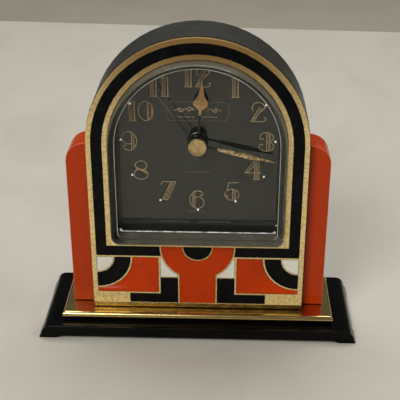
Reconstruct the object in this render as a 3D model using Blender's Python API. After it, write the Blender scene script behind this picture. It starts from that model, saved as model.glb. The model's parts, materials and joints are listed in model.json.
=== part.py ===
"""Art Deco mantel clock: an arched case with an enamelled brass front, a quartz movement and three hands.

Metres, +Z up. The dial faces -Y. The origin is on the table, under the middle of the base.
Dimensions are written in millimetres as (x, depth, z), where depth is measured back from the
front of the face plate, and finish() turns them into metres.
"""
import math

import bmesh
import bpy
from mathutils import Vector

MM = 0.001
GAP = 0.3            # air left between pieces that touch
ENAMEL_GAP = 0.15    # air round each enamel fill in its pocket
WELD = 0.002         # points closer than this after a Boolean are one point

# Driving dimensions
FACE_HALF = 37.5     # half the width of the arched face plate
ARCH_Z = 71.6        # height of the arch's centre, which is also the dial's centre
PLINTH_TOP = 8.0     # height of the brass plinth's top face
MID_DEPTH = 9.8      # depth of the middle of the base, which becomes y = 0
CASE_BACK = 19.5
LINE = 0.85          # width of the thin brass lines between the enamels

# Case and base
BASE_HALF = 56.0
BASE_TOP = PLINTH_TOP - 3.1
BASE_FRONT = -8.8
BASE_BACK = 2 * MID_DEPTH - BASE_FRONT
SHOULDER = 3.4
FOOT_LIFT = 1.0
FOOT_LENGTH = 7.5
PLINTH_HALF = 48.7
PLINTH_THICK = 2.8
PLINTH_FRONT = -4.6
PLINTH_BACK = 2 * MID_DEPTH - PLINTH_FRONT
NOSE = 1.35
WING_OUTER = 45.3
WING_TOP = PLINTH_TOP + 63.0
WING_FRONT = 3.8
WING_BACK = 14.9
WING_CORNER = 7.0
CASE_HALF = FACE_HALF + 0.2
CASE_WALL = 2.6
WEB_FRONT = 1.5      # the shell's front web, which carries the crystal, the ring and the dial
WEB_BACK = 6.8

# Face plate and enamel
PLATE_THICK = 1.2
PLATE_BOTTOM = PLINTH_TOP + 2.0
POCKET_DEPTH = 0.7
FILL_DEPTH = 0.55
FRAME_OUTER = 35.7
FRAME_INNER = 32.2
FRAME_BOTTOM = PLATE_BOTTOM + 19.7
FRAME_SILL = PLATE_BOTTOM + 23.3
RED_ARC = 12.8
RED_ARC_EDGE = RED_ARC + 0.7
BUD = 4.95
BUD_EDGE = BUD + 0.65
STEM_HALF = 6.35
STEM_EDGE = STEM_HALF + 0.75
ELL_OUTER = 13.1
ELL_TOP = PLATE_BOTTOM + 10.6
ELL_FOOT = 24.2
ELL_FOOT_TOP = PLATE_BOTTOM + 3.9
FILL_BOTTOM = PLATE_BOTTOM + 0.4
PANEL_INNER = ELL_OUTER + 0.9
PANEL_BOTTOM = ELL_FOOT_TOP + LINE
PANEL_TOP = FRAME_BOTTOM - LINE
QUARTER_OUTER = 11.9
QUARTER_INNER = 6.4
QUARTER_WHITE = 5.8

# Window stack: crystal, ring, dial
WINDOW_HALF = 30.4
WINDOW_BOTTOM = FRAME_SILL + 1.7
CRYSTAL_HALF = 30.1
CRYSTAL_FRONT = -4.2
CRYSTAL_SHOULDER = -0.8
CRYSTAL_BEVEL = 1.65
CRYSTAL_INNER = -1.7
FLANGE_HALF = 31.5
RING_HALF = 29.0
DIAL_FRONT = 5.6
DIAL_BACK = 6.2

# Movement, centred on the dial
MOVEMENT_HALF = 22.0
MOVEMENT_FRONT = 6.5
HOUSING_WALL = 1.0
HOUSING_BACK = 15.9
COVER_FRONT = 16.2
COVER_BACK = 17.2
MODULE = 0.22
ROTOR_MODULE = 0.26
MOTION_MODULE = 0.25
SECOND_TEETH, FIFTH_TEETH, THIRD_TEETH, CENTRE_TEETH = 36, 30, 48, 45
MINUTE_TEETH, HOUR_TEETH, CANNON_TEETH, MINUTE_LEAVES = 30, 32, 10, 8
LEAVES = 6
BATTERY_AT = (11.0, ARCH_Z - 11.5)
BATTERY_RADIUS = 5.8
HATCH_RADIUS = 6.3
POSTS = [(-11.0, ARCH_Z + 8.2), (-11.0, ARCH_Z - 3.0), (3.2, ARCH_Z + 8.4)]

# Hands at rest, in degrees clockwise from twelve
HOUR_ANGLE = 4.0
MINUTE_ANGLE = 103.2
SECOND_ANGLE = 323.4

ARCH_STEPS = 28
FINISHES = {
    "black_lacquer": ((0.012, 0.012, 0.013), 0.12, 0.0, 1.0),
    "polished_brass": ((0.78, 0.57, 0.25), 0.18, 1.0, 1.0),
    "satin_brass": ((0.62, 0.47, 0.22), 0.45, 1.0, 1.0),
    "red_lacquer": ((0.42, 0.045, 0.012), 0.2, 0.0, 1.0),
    "charcoal": ((0.05, 0.05, 0.047), 0.4, 0.0, 1.0),
    "black_enamel": ((0.004, 0.004, 0.006), 0.1, 0.0, 1.0),
    "red_enamel": ((0.46, 0.06, 0.015), 0.15, 0.0, 1.0),
    "white_enamel": ((0.7, 0.67, 0.58), 0.2, 0.0, 1.0),
    "clear": ((0.9, 0.92, 0.92), 0.02, 0.0, 0.35),
    "dial_black": ((0.02, 0.02, 0.018), 0.15, 0.0, 1.0),
    "rose_gold": ((0.72, 0.45, 0.26), 0.3, 1.0, 1.0),
    "steel": ((0.55, 0.55, 0.56), 0.3, 1.0, 1.0),
    "copper": ((0.55, 0.22, 0.1), 0.4, 1.0, 1.0),
    "black_plastic": ((0.02, 0.02, 0.02), 0.5, 0.0, 1.0),
    "white_plastic": ((0.75, 0.74, 0.7), 0.4, 0.0, 1.0),
    "board_green": ((0.02, 0.12, 0.05), 0.4, 0.0, 1.0),
}


# ---------------------------------------------------------------- outlines, as (x, z) points

def arc(x, z, radius, start, end, steps):
    """Points on an arc, from the start angle to the end angle in degrees."""
    angles = [math.radians(start + (end - start) * i / steps) for i in range(steps + 1)]
    return [(x + radius * math.cos(a), z + radius * math.sin(a)) for a in angles]


def circle(x, z, radius, steps=20):
    return arc(x, z, radius, 0, 360, steps)[:-1]


def arch(half, bottom, corner=0.0):
    """A round-topped outline whose arch is centred on the dial."""
    top = arc(0, ARCH_Z, half, 0, 180, ARCH_STEPS)
    if corner == 0:
        return top + [(-half, bottom), (half, bottom)]
    left = arc(-half + corner, bottom + corner, corner, 180, 270, 3)
    right = arc(half - corner, bottom + corner, corner, 270, 360, 3)
    return top + left + right


def mirrored(outline):
    return [(-x, z) for x, z in reversed(outline)]


def angle_below(radius, x):
    """The angle of the point on a circle's lower right quarter that lies at x."""
    return -math.degrees(math.acos(x / radius))


def gear(x, z, teeth, module, tooth_at):
    """A wheel with slender teeth, one of them pointing in the direction tooth_at."""
    pitch = 360 / teeth
    radius = teeth * module / 2
    root = radius - 1.1 * module
    tip = radius + 0.8 * module
    points = []
    for i in range(teeth):
        middle = tooth_at + i * pitch
        for reach, turn in ((root, -0.26), (tip, -0.11), (tip, 0.11), (root, 0.26)):
            a = math.radians(middle + turn * pitch)
            points.append((x + reach * math.cos(a), z + reach * math.sin(a)))
    return points


def polar(origin, distance, direction):
    a = math.radians(direction)
    return (origin[0] + distance * math.cos(a), origin[1] + distance * math.sin(a))


# ---------------------------------------------------------------- solids, as bmeshes

def turn_outward(solid):
    bmesh.ops.recalc_face_normals(solid, faces=solid.faces)
    if solid.calc_volume(signed=True) < 0:
        bmesh.ops.reverse_faces(solid, faces=solid.faces)


def extrude(solid, shift):
    """Extrude the faces of a flat bmesh into a closed solid."""
    extruded = bmesh.ops.extrude_face_region(solid, geom=solid.faces[:])
    moved = [item for item in extruded["geom"] if isinstance(item, bmesh.types.BMVert)]
    bmesh.ops.translate(solid, verts=moved, vec=shift)
    turn_outward(solid)
    return solid


def flat(points):
    """A bmesh that holds one face."""
    solid = bmesh.new()
    solid.faces.new([solid.verts.new(point) for point in points])
    return solid


def prism(outline, front, back):
    """The outline extruded through the depth."""
    return extrude(flat([(x, front, z) for x, z in outline]), (0, back - front, 0))


def fill(outline, front, back, gap):
    """The outline drawn in by the gap all round, then extruded."""
    solid = flat([(x, front, z) for x, z in outline])
    rim = bmesh.ops.inset_region(solid, faces=solid.faces[:], thickness=gap, use_even_offset=True)
    bmesh.ops.delete(solid, geom=rim["faces"], context="FACES")
    return extrude(solid, (0, back - front, 0))


def box(left, right, front, back, low, high):
    return prism([(left, low), (right, low), (right, high), (left, high)], front, back)


def rod(at, radius, front, back, steps=16):
    return prism(circle(at[0], at[1], radius, steps), front, back)


def loft(loops):
    """A skin over outlines of equal length at their depths, closed at both ends."""
    return skin([[(x, depth, z) for x, z in outline] for outline, depth in loops])


def skin(loops):
    """A closed skin over rings of points of equal length."""
    solid = bmesh.new()
    rings = [[solid.verts.new(point) for point in loop] for loop in loops]
    for here, there in zip(rings, rings[1:]):
        for i in range(len(here)):
            j = (i + 1) % len(here)
            solid.faces.new((here[i], here[j], there[j], there[i]))
    solid.faces.new(rings[0])
    solid.faces.new(rings[-1])
    turn_outward(solid)
    return solid


def temporary(solid):
    mesh = bpy.data.meshes.new("temporary")
    solid.to_mesh(mesh)
    solid.free()
    thing = bpy.data.objects.new("temporary", mesh)
    bpy.context.scene.collection.objects.link(thing)
    return thing


def boolean(body, others, operation):
    """The body after a Boolean with each of the others, as a new bmesh."""
    target = temporary(body)
    helpers = [temporary(other) for other in others]
    for helper in helpers:
        modifier = target.modifiers.new("boolean", "BOOLEAN")
        modifier.operation = operation
        modifier.object = helper
    evaluated = target.evaluated_get(bpy.context.evaluated_depsgraph_get())
    mesh = bpy.data.meshes.new_from_object(evaluated)
    result = bmesh.new()
    result.from_mesh(mesh)
    bmesh.ops.remove_doubles(result, verts=result.verts, dist=WELD)
    bpy.data.meshes.remove(mesh)
    for thing in [target] + helpers:
        mesh = thing.data
        bpy.data.objects.remove(thing)
        bpy.data.meshes.remove(mesh)
    return result


def cut(body, *cutters):
    return boolean(body, cutters, "DIFFERENCE")


def join(body, *others):
    return boolean(body, others, "UNION")


# ---------------------------------------------------------------- objects

def clear_scene():
    for thing in list(bpy.data.objects):
        bpy.data.objects.remove(thing)


def material(name, finish_name):
    colour, roughness, metallic, alpha = FINISHES[finish_name]
    result = bpy.data.materials.new(name)
    result.use_nodes = True
    shader = result.node_tree.nodes["Principled BSDF"]
    shader.inputs["Base Color"].default_value = (*colour, 1.0)
    shader.inputs["Roughness"].default_value = roughness
    shader.inputs["Metallic"].default_value = metallic
    shader.inputs["Alpha"].default_value = alpha
    result.diffuse_color = (*colour, alpha)
    return result


def axis_empty(name, at):
    """An empty on a turning axis, which the pieces that turn there hang from."""
    empty = bpy.data.objects.new(name, None)
    empty.empty_display_size = 5 * MM
    empty.location = Vector((at[0], 0, at[1])) * MM
    bpy.context.scene.collection.objects.link(empty)
    return empty


def finish(name, solid, finish_name, axis=None):
    """Turn a bmesh in millimetres into a named object in metres, hung from its axis if it has one."""
    origin = axis.location if axis else Vector((0, 0, 0))
    for vert in solid.verts:
        x, depth, z = vert.co
        vert.co = Vector((x, depth - MID_DEPTH, z)) * MM - origin
    mesh = bpy.data.meshes.new(name)
    solid.to_mesh(mesh)
    solid.free()
    mesh.shade_smooth()
    mesh.set_sharp_from_angle(angle=math.radians(32))
    mesh.materials.append(material(name, finish_name))
    thing = bpy.data.objects.new(name, mesh)
    bpy.context.scene.collection.objects.link(thing)
    if axis:
        thing.parent = axis
    return thing


# ---------------------------------------------------------------- base, plinth and wings

def make_base():
    """A slab with round shoulders at its ends, standing on four corner feet."""
    half = BASE_HALF
    right = [
        (half - FOOT_LENGTH, FOOT_LIFT),
        (half - FOOT_LENGTH + 2.4, 0.0),
        (half + 0.5, 0.0),
        (half + 0.8, 0.5),
    ] + arc(half - SHOULDER, BASE_TOP - SHOULDER, SHOULDER, 0, 90, 6)
    slab = prism(mirrored(right) + right, BASE_FRONT, BASE_BACK)
    span = [
        (BASE_FRONT + FOOT_LENGTH - 2.0, -1.0),
        (BASE_FRONT + FOOT_LENGTH, FOOT_LIFT),
        (BASE_BACK - FOOT_LENGTH, FOOT_LIFT),
        (BASE_BACK - FOOT_LENGTH + 2.0, -1.0),
    ]
    lift = extrude(flat([(-half - 3, depth, z) for depth, z in span]), (2 * half + 6, 0, 0))
    holes = [rod_up(at, 1.9, -1.0, 20.0) for at in screw_places()]
    sinks = [rod_up(at, 3.3, -1.0, 3.0) for at in screw_places()]
    finish("base", cut(slab, lift, *holes, *sinks), "black_lacquer")


def rod_up(at, radius, low, high, steps=16):
    """A vertical rod at (x, depth)."""
    ring = [(x, depth, low) for x, depth in circle(at[0], at[1], radius, steps)]
    return extrude(flat(ring), (0, 0, high - low))


def screw_places():
    """Where the fixing screws come up through the base: one under each wing, two under the case."""
    middle = (WING_FRONT + WING_BACK) / 2
    wing = (WING_OUTER + CASE_HALF + GAP) / 2
    return [(-wing, middle), (wing, middle), (-18.0, middle), (18.0, middle)]


def make_base_screws():
    """Countersunk screws from below, through base and plinth, into the wings and the case floor."""
    for number, at in enumerate(screw_places(), start=1):
        reach = PLINTH_TOP + 5.0 if abs(at[0]) > 30 else PLINTH_TOP + 2.4
        head = rod_up(at, 2.9, 1.4, 2.7)
        shank = rod_up(at, 1.4, 2.5, reach)
        slot = box(at[0] - 4, at[0] + 4, at[1] - 0.3, at[1] + 0.3, 1.0, 1.9)
        finish(f"base_screw_{number}", cut(join(head, shank), slot), "steel")


def make_plinth():
    """A brass plate with a half-round nose on all four sides."""
    low = PLINTH_TOP - PLINTH_THICK
    plate = box(-PLINTH_HALF, PLINTH_HALF, PLINTH_FRONT, PLINTH_BACK, low, PLINTH_TOP)
    rims = [edge for edge in plate.edges if abs(edge.verts[0].co.z - edge.verts[1].co.z) < 0.1]
    bmesh.ops.bevel(plate, geom=rims, offset=NOSE, segments=5, profile=0.5, affect="EDGES")
    holes = [rod_up(at, 1.7, 0.0, 20.0) for at in screw_places()]
    finish("plinth_plate", cut(plate, *holes), "polished_brass")
    strip = box(-FACE_HALF, FACE_HALF, 0.0, PLATE_THICK, PLINTH_TOP + GAP, PLATE_BOTTOM - GAP)
    finish("sill_strip", strip, "polished_brass")


def make_wings():
    """The two red side blocks, each with a round outer top corner."""
    inner = CASE_HALF + GAP
    low = PLINTH_TOP + GAP
    corner = arc(WING_OUTER - WING_CORNER, WING_TOP - WING_CORNER, WING_CORNER, 0, 90, 8)
    right = [(inner, low), (WING_OUTER, low)] + corner + [(inner, WING_TOP)]
    places = screw_places()
    for name, outline, at in (("wing_left", mirrored(right), places[0]), ("wing_right", right, places[1])):
        block = prism(outline, WING_FRONT, WING_BACK)
        socket = rod_up(at, 1.7, 0.0, PLINTH_TOP + 5.5)
        finish(name, cut(block, socket), "red_lacquer")


# ---------------------------------------------------------------- case

def cover_screw_places():
    return [polar((0, ARCH_Z), 31.4, angle) for angle in (62, 118)] + [(-31.0, 14.5), (31.0, 14.5)]


def make_case():
    """The arched shell, its front web, and the bosses that take the back cover's screws."""
    low = PLINTH_TOP + GAP
    inner = CASE_HALF - CASE_WALL
    outside = prism(arch(CASE_HALF, low), WEB_FRONT, CASE_BACK)
    cavity = prism(arch(inner, low + CASE_WALL), WEB_BACK, CASE_BACK + 1)
    window = prism(arch(FLANGE_HALF + GAP, WINDOW_BOTTOM - 1.3, 3.5), 0, WEB_BACK + 1)
    shell = cut(outside, cavity, window)
    bosses = [rod(at, 2.4, WEB_BACK - GAP, 17.7, 12) for at in cover_screw_places()]
    pilots = [rod(at, 1.1, 9.5, 18.5, 12) for at in cover_screw_places()]
    floor = [rod_up(at, 1.7, 0.0, PLINTH_TOP + 8, 12) for at in screw_places()[2:]]
    finish("case_shell", cut(join(shell, *bosses), *pilots, *floor), "charcoal")


def make_back_cover():
    """The arched back with a square opening round the movement, and its four screws."""
    inner = CASE_HALF - CASE_WALL - GAP
    cover = prism(arch(inner, PLINTH_TOP + CASE_WALL + 2 * GAP), 18.0, 19.2)
    half = MOVEMENT_HALF - 3
    opening = box(-half, half, 17, 21, ARCH_Z - half, ARCH_Z + half)
    holes = [rod(at, 1.3, 17, 21, 12) for at in cover_screw_places()]
    finish("back_cover", cut(cover, opening, *holes), "black_plastic")
    for number, at in enumerate(cover_screw_places(), start=1):
        shank = rod(at, 0.9, 12.0, 19.6, 10)
        head = rod(at, 2.0, 19.5, 20.4, 14)
        slots = [
            box(at[0] - 1.3, at[0] + 1.3, 20.0, 21.0, at[1] - 0.25, at[1] + 0.25),
            box(at[0] - 0.25, at[0] + 0.25, 20.0, 21.0, at[1] - 1.3, at[1] + 1.3),
        ]
        finish(f"cover_screw_{number}", cut(join(head, shank), *slots), "steel")


# ---------------------------------------------------------------- face plate and enamel

def frame_outline():
    """The black band: an arch with a bottom bar that stops at the red arc's brass edge."""
    low, sill = FRAME_BOTTOM, FRAME_SILL
    end = angle_below(RED_ARC_EDGE, math.sqrt(RED_ARC_EDGE ** 2 - (sill - low) ** 2))
    right_end = arc(0, sill, RED_ARC_EDGE, end, 0, 2)
    inside = arc(0, ARCH_Z, FRAME_INNER, 0, 180, ARCH_STEPS)
    left_end = arc(0, sill, RED_ARC_EDGE, 180, 180 - end, 2)
    outside = arc(0, ARCH_Z, FRAME_OUTER, 180, 0, ARCH_STEPS)
    return (
        right_end + [(FRAME_INNER, sill)] + inside + [(-FRAME_INNER, sill)]
        + left_end + [(-FRAME_OUTER, low)] + outside + [(FRAME_OUTER, low)]
    )


def stem_outline():
    """The red half-ring above its stem."""
    low = angle_below(RED_ARC, STEM_HALF)
    return (
        arc(0, FRAME_SILL, BUD_EDGE, 180, 360, 10)
        + arc(0, FRAME_SILL, RED_ARC, 0, low, 6)
        + [(STEM_HALF, FILL_BOTTOM), (-STEM_HALF, FILL_BOTTOM)]
        + arc(0, FRAME_SILL, RED_ARC, 180 - low, 180, 6)
    )


def panel_outline():
    """The right red panel, hollowed by the quarter ring's brass edge."""
    edge = QUARTER_OUTER + LINE
    return [(PANEL_INNER, PANEL_BOTTOM), (FRAME_OUTER, PANEL_BOTTOM)] + arc(
        FRAME_OUTER, PANEL_TOP, edge, 270, 180, 9) + [(PANEL_INNER, PANEL_TOP)]


def quarter_outline():
    outer = arc(FRAME_OUTER, PANEL_TOP, QUARTER_OUTER, 180, 270, 9)
    return outer + arc(FRAME_OUTER, PANEL_TOP, QUARTER_INNER, 270, 180, 6)


def white_corner_outline():
    return [(FRAME_OUTER, PANEL_TOP)] + arc(FRAME_OUTER, PANEL_TOP, QUARTER_WHITE, 180, 270, 6)


def spandrel_outline():
    """The right white spandrel, between the red arc's brass edge and the right ell."""
    low = ELL_TOP + 0.5
    top = math.sqrt(RED_ARC_EDGE ** 2 - (FRAME_SILL - PANEL_TOP) ** 2)
    start, end = angle_below(RED_ARC_EDGE, top), angle_below(RED_ARC_EDGE, STEM_EDGE)
    edge = arc(0, FRAME_SILL, RED_ARC_EDGE, start, end, 4)
    return [(STEM_EDGE, low), (ELL_OUTER, low), (ELL_OUTER, PANEL_TOP)] + edge


def ell_outline():
    return [
        (STEM_EDGE, FILL_BOTTOM),
        (ELL_FOOT, FILL_BOTTOM),
        (ELL_FOOT, ELL_FOOT_TOP),
        (ELL_OUTER, ELL_FOOT_TOP),
        (ELL_OUTER, ELL_TOP),
        (STEM_EDGE, ELL_TOP),
    ]


def enamels():
    """Every enamel fill as (name, outline, finish)."""
    middle = [
        ("enamel_frame_black", frame_outline(), "black_enamel"),
        ("enamel_stem_red", stem_outline(), "red_enamel"),
        ("enamel_bud_black", arc(0, FRAME_SILL, BUD, 180, 360, 10), "black_enamel"),
    ]
    sides = []
    for name, outline, finish_name in (
        ("enamel_panel_red", panel_outline(), "red_enamel"),
        ("enamel_quarter_black", quarter_outline(), "black_enamel"),
        ("enamel_corner_white", white_corner_outline(), "white_enamel"),
        ("enamel_spandrel_white", spandrel_outline(), "white_enamel"),
        ("enamel_ell_black", ell_outline(), "black_enamel"),
    ):
        sides.append((name + "_left", mirrored(outline), finish_name))
        sides.append((name + "_right", outline, finish_name))
    return middle + sides


def make_face():
    """The brass plate with a window and a pocket for each enamel, and the enamel fills."""
    plate = prism(arch(FACE_HALF, PLATE_BOTTOM), 0, PLATE_THICK)
    window = prism(arch(WINDOW_HALF, WINDOW_BOTTOM, 3.0), -1, PLATE_THICK + 1)
    pockets = [prism(outline, -1, POCKET_DEPTH) for _, outline, _ in enamels()]
    finish("face_plate", cut(plate, window, *pockets), "satin_brass")
    for name, outline, finish_name in enamels():
        finish(name, fill(outline, 0, FILL_DEPTH, ENAMEL_GAP), finish_name)


# ---------------------------------------------------------------- crystal and dial

def make_window_stack():
    """The bevelled crystal, the ring behind it and the dial."""
    bottom = WINDOW_BOTTOM + GAP
    inset = CRYSTAL_HALF - RING_HALF
    flange = arch(FLANGE_HALF, WINDOW_BOTTOM - 1.0, 3.3)
    neck = arch(CRYSTAL_HALF, bottom, 2.8)
    front = arch(CRYSTAL_HALF - CRYSTAL_BEVEL, bottom + CRYSTAL_BEVEL, 1.6)
    hollow = arch(RING_HALF, bottom + inset, 2.0)
    ceiling = arch(RING_HALF - 0.8, bottom + inset + 0.8, 1.6)
    back, step = 2.4, 1.5
    crystal = loft([
        (ceiling, CRYSTAL_INNER),
        (hollow, back),
        (flange, back),
        (flange, step),
        (neck, step),
        (neck, CRYSTAL_SHOULDER),
        (front, CRYSTAL_FRONT),
    ])
    finish("crystal", crystal, "clear")
    ring = cut(
        prism(flange, back + GAP, DIAL_FRONT - GAP),
        prism(hollow, back - 1, DIAL_FRONT + 1),
    )
    finish("dial_ring", ring, "charcoal")
    dial = prism(flange, DIAL_FRONT, DIAL_BACK)
    finish("dial", cut(dial, rod((0, ARCH_Z), 3.3, DIAL_FRONT - 1, DIAL_BACK + 1)), "dial_black")


# ---------------------------------------------------------------- movement casing and electrics

def train_places():
    """The arbors' places. Wheels that mesh stand one pitch radius apart each."""
    centre = (0, ARCH_Z)
    minute = polar(centre, (CANNON_TEETH + MINUTE_TEETH) * MOTION_MODULE / 2, 270)
    knob = polar(minute, (CANNON_TEETH + MINUTE_TEETH) * MOTION_MODULE / 2, 210)
    third = polar(centre, (LEAVES + THIRD_TEETH) * MODULE / 2, 160)
    fifth = polar(centre, (LEAVES + SECOND_TEETH) * MODULE / 2, 30)
    rotor = polar(fifth, (LEAVES + FIFTH_TEETH) * ROTOR_MODULE / 2, 30)
    return {"centre": centre, "minute": minute, "knob": knob, "third": third, "fifth": fifth, "rotor": rotor}


def make_movement_casing(places):
    """The housing with its posts, the bush and its nut, the cover, and the two train plates."""
    half, wall = MOVEMENT_HALF, HOUSING_WALL
    front, back = MOVEMENT_FRONT, HOUSING_BACK
    dish = cut(
        box(-half, half, front, back, ARCH_Z - half, ARCH_Z + half),
        box(-half + wall, half - wall, front + wall, back + 1, ARCH_Z - half + wall, ARCH_Z + half - wall),
        rod(places["centre"], 2.9, front - 1, front + 3),
    )
    posts = [rod(at, 1.0, front + wall / 2, 15.2, 12) for at in POSTS]
    finish("movement_housing", join(dish, *posts), "black_plastic")

    bush = join(rod(places["centre"], 2.6, 3.9, 7.4, 20), rod(places["centre"], 2.6, 7.0, 7.7, 20))
    finish("centre_bush", cut(bush, rod(places["centre"], 2.1, 3, 9, 20)), "satin_brass")
    nut = prism(circle(0, ARCH_Z, 4.3, 6), 4.3, 5.3)
    finish("bush_nut", cut(nut, rod(places["centre"], 2.9, 3, 6, 20)), "steel")

    plate = box(-half, half, COVER_FRONT, COVER_BACK, ARCH_Z - half, ARCH_Z + half)
    shaft_hole = rod(places["knob"], 1.4, 15, 19)
    hatch_hole = rod(BATTERY_AT, HATCH_RADIUS + GAP, 15, 19, 28)
    finish("movement_cover", cut(plate, shaft_hole, hatch_hole), "black_plastic")

    low, high = ARCH_Z - 4.4, ARCH_Z + 9.8
    post_holes = [rod(at, 1.25, 10, 17, 12) for at in POSTS]
    pivots = [rod(places[name], 0.6, 10, 17, 12) for name in ("centre", "third", "fifth")]
    finish("train_plate", cut(box(-12.6, 5.0, 11.2, 11.9, low, high), *post_holes, *pivots), "white_plastic")
    post_holes = [rod(at, 1.25, 10, 17, 12) for at in POSTS]
    pivots = [rod(places[name], 0.5, 10, 17, 12) for name in ("centre", "third", "fifth", "rotor")]
    bridge = box(-12.6, 10.0, 15.3, 15.9, low, high)
    finish("rear_bridge", cut(bridge, *post_holes, *pivots), "steel")


def make_electrics(places):
    """The motor's stator and coil, the circuit board, the quartz can, the cell and its contacts."""
    x, z = places["rotor"]
    outline = [
        (5.0, z - 3.6), (18.6, z - 3.6), (18.6, z + 12.0), (15.6, z + 12.0),
        (15.6, z + 3.6), (8.0, z + 3.6), (8.0, z + 12.0), (5.0, z + 12.0),
    ]
    plate = prism(outline, 12.3, 13.1)
    finish("stator", cut(plate, rod(places["rotor"], 2.5, 11, 14, 24)), "steel")
    profile = [(8.3, 2.4), (9.0, 2.4), (9.0, 2.0), (14.6, 2.0), (14.6, 2.4), (15.3, 2.4)]
    turns = [[(along, u, v) for u, v in circle(12.7, z + 8.6, radius, 16)] for along, radius in profile]
    finish("coil", skin(turns), "copper")

    low = ARCH_Z - MOVEMENT_HALF + HOUSING_WALL + 0.8
    finish("circuit_board", box(-20.0, -7.0, 8.2, 9.0, low, ARCH_Z - 10.5), "board_green")
    finish("quartz_can", prism(circle(-13.5, low + 2.6, 1.0, 12), 9.3, 15.0), "steel")

    x, z = BATTERY_AT
    finish("battery", rod(BATTERY_AT, BATTERY_RADIUS, 10.3, 15.7, 28), "steel")
    spring = [(x - 1.2, z - 5.0), (x + 1.2, z - 5.0), (x + 1.2, z + 6.2), (x - 1.2, z + 6.2)]
    finish("contact_negative", prism(spring, 9.5, 9.9), "polished_brass")
    clip = box(x + BATTERY_RADIUS + GAP, x + BATTERY_RADIUS + 0.7, 10.0, 15.0, z - 3, z + 3)
    finish("contact_positive", clip, "polished_brass")


def make_hatch():
    """The round cell hatch with a coin slot, which turns on the cell's axis."""
    axis = axis_empty("hatch_axis", BATTERY_AT)
    x, z = BATTERY_AT
    disc = rod(BATTERY_AT, HATCH_RADIUS, 16.1, 17.5, 28)
    slot = box(x - 3.6, x + 3.6, 17.0, 18.0, z - 0.6, z + 0.6)
    finish("battery_hatch", cut(disc, slot), "black_plastic", axis)


# ---------------------------------------------------------------- wheel train

def make_second_train(places):
    """Rotor, fifth wheel, second wheel, third wheel and centre wheel."""
    half_tooth = {teeth: 180 / teeth for teeth in (LEAVES, SECOND_TEETH, FIFTH_TEETH, THIRD_TEETH, CENTRE_TEETH)}

    x, z = places["rotor"]
    rotor = join(
        rod((x, z), 2.2, 11.5, 13.9, 20),
        prism(gear(x, z, LEAVES, ROTOR_MODULE, 210), 13.5, 15.0),
        rod((x, z), 0.3, 14.0, 15.7, 8),
    )
    finish("rotor", rotor, "black_plastic", axis_empty("rotor_axis", (x, z)))

    x, z = places["fifth"]
    fifth = join(
        prism(gear(x, z, FIFTH_TEETH, ROTOR_MODULE, 30 + half_tooth[FIFTH_TEETH]), 14.5, 14.9),
        prism(gear(x, z, LEAVES, MODULE, 210), 13.4, 14.6),
        rod((x, z), 0.35, 11.4, 15.7, 8),
    )
    finish("fifth_wheel", fifth, "white_plastic", axis_empty("fifth_axis", (x, z)))

    x, z = places["third"]
    third = join(
        prism(gear(x, z, THIRD_TEETH, MODULE, -20 + half_tooth[THIRD_TEETH]), 12.4, 12.8),
        prism(gear(x, z, LEAVES, third_module(), -20), 10.0, 10.9),
        rod((x, z), 0.35, 9.9, 15.7, 8),
    )
    finish("third_wheel", third, "white_plastic", axis_empty("third_axis", (x, z)))

    x, z = places["centre"]
    axis = axis_empty("second_axis", (x, z))
    wheel = join(
        prism(gear(x, z, SECOND_TEETH, MODULE, 30 + half_tooth[SECOND_TEETH]), 13.5, 13.9),
        prism(gear(x, z, LEAVES, MODULE, 160), 12.2, 13.6),
        rod((x, z), 0.35, 1.2, 14.2, 10),
    )
    finish("second_wheel", wheel, "steel", axis)
    centre = gear(x, z, CENTRE_TEETH, third_module(), 160 + half_tooth[CENTRE_TEETH])
    wheel = cut(prism(centre, 10.2, 10.6), rod((x, z), 1.35, 9, 12))
    finish("centre_wheel", wheel, "polished_brass", axis_empty("centre_wheel_axis", (x, z)))
    return axis


def third_module():
    """The centre wheel's module, set by the third wheel's distance from the centre."""
    return (LEAVES + THIRD_TEETH) * MODULE / (LEAVES + CENTRE_TEETH)


def make_motion_work(places):
    """Cannon pinion, minute wheel, hour wheel and the setting knob with its pinion."""
    x, z = places["centre"]
    minute_axis = axis_empty("minute_axis", (x, z))
    cannon = join(
        prism(gear(x, z, CANNON_TEETH, MOTION_MODULE, 270), 9.0, 9.7),
        rod((x, z), 1.05, 1.7, 10.8, 16),
    )
    finish("cannon_pinion", cut(cannon, rod((x, z), 0.65, 0, 12, 12)), "polished_brass", minute_axis)

    hour_axis = axis_empty("hour_axis", (x, z))
    toothed = gear(x, z, HOUR_TEETH, MOTION_MODULE, 270 + 180 / HOUR_TEETH)
    hour = join(prism(toothed, 8.0, 8.5), rod((x, z), 1.8, 2.9, 8.5, 18))
    finish("hour_wheel", cut(hour, rod((x, z), 1.35, 2, 10, 16)), "white_plastic", hour_axis)

    x, z = places["minute"]
    wheel = join(
        prism(gear(x, z, MINUTE_TEETH, MOTION_MODULE, 90 + 180 / MINUTE_TEETH), 9.1, 9.6),
        prism(gear(x, z, MINUTE_LEAVES, MOTION_MODULE, 90), 7.9, 9.2),
    )
    finish("minute_wheel", wheel, "white_plastic", axis_empty("minute_wheel_axis", (x, z)))

    x, z = places["knob"]
    knob_axis = axis_empty("knob_axis", (x, z))
    finish("set_pinion", prism(gear(x, z, CANNON_TEETH, MOTION_MODULE, 30), 9.0, 9.8), "white_plastic", knob_axis)
    knob = join(
        prism(gear(x, z, 24, 0.31, 0), 17.6, 20.6),
        rod((x, z), 1.0, 10.1, 17.9),
    )
    finish("set_knob", knob, "black_plastic", knob_axis)
    return hour_axis, minute_axis


# ---------------------------------------------------------------- hands

def turned(points, angle):
    """Points drawn for a hand at twelve, turned clockwise about the dial's centre."""
    a = math.radians(angle)
    return [(x * math.cos(a) + z * math.sin(a), ARCH_Z + z * math.cos(a) - x * math.sin(a)) for x, z in points]


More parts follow.
